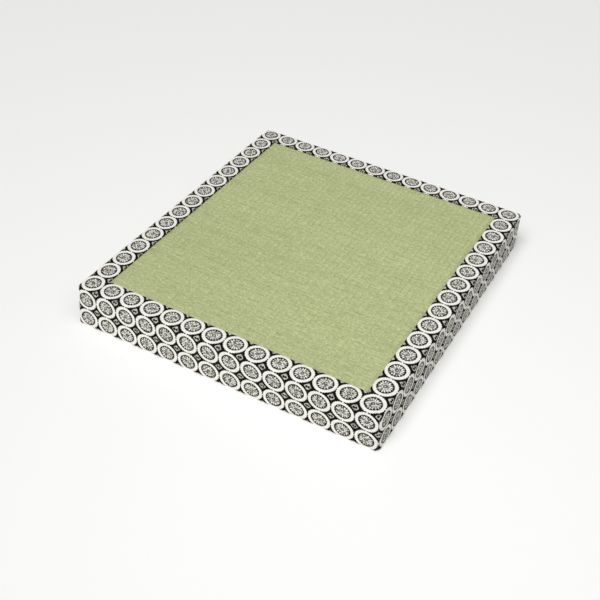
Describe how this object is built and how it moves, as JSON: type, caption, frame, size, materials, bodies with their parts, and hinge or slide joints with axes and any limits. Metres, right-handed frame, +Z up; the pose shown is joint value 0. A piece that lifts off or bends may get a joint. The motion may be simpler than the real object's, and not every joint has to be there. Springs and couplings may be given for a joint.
{
  "type": "tatami mat",
  "caption": "Thick rectangular tatami mat with a woven rush top, bordered all round in black and white roundel cloth that wraps its sides.",
  "frame": {"origin": "middle of the underside, on the surface that the mat rests on", "axes": "+Z up through the mat's thickness, +Y along its longer sides towards the back, +X to the right along its front edge"},
  "size_m": [0.425, 0.467, 0.0585],
  "materials": {
    "rush": "matte",
    "border_cloth": "matte"
  },
  "bodies": {
    "root": {"rush_mat": "rush", "border_front": "border_cloth", "border_right": "border_cloth", "border_back": "border_cloth", "border_left": "border_cloth"}
  },
  "joints": []
}
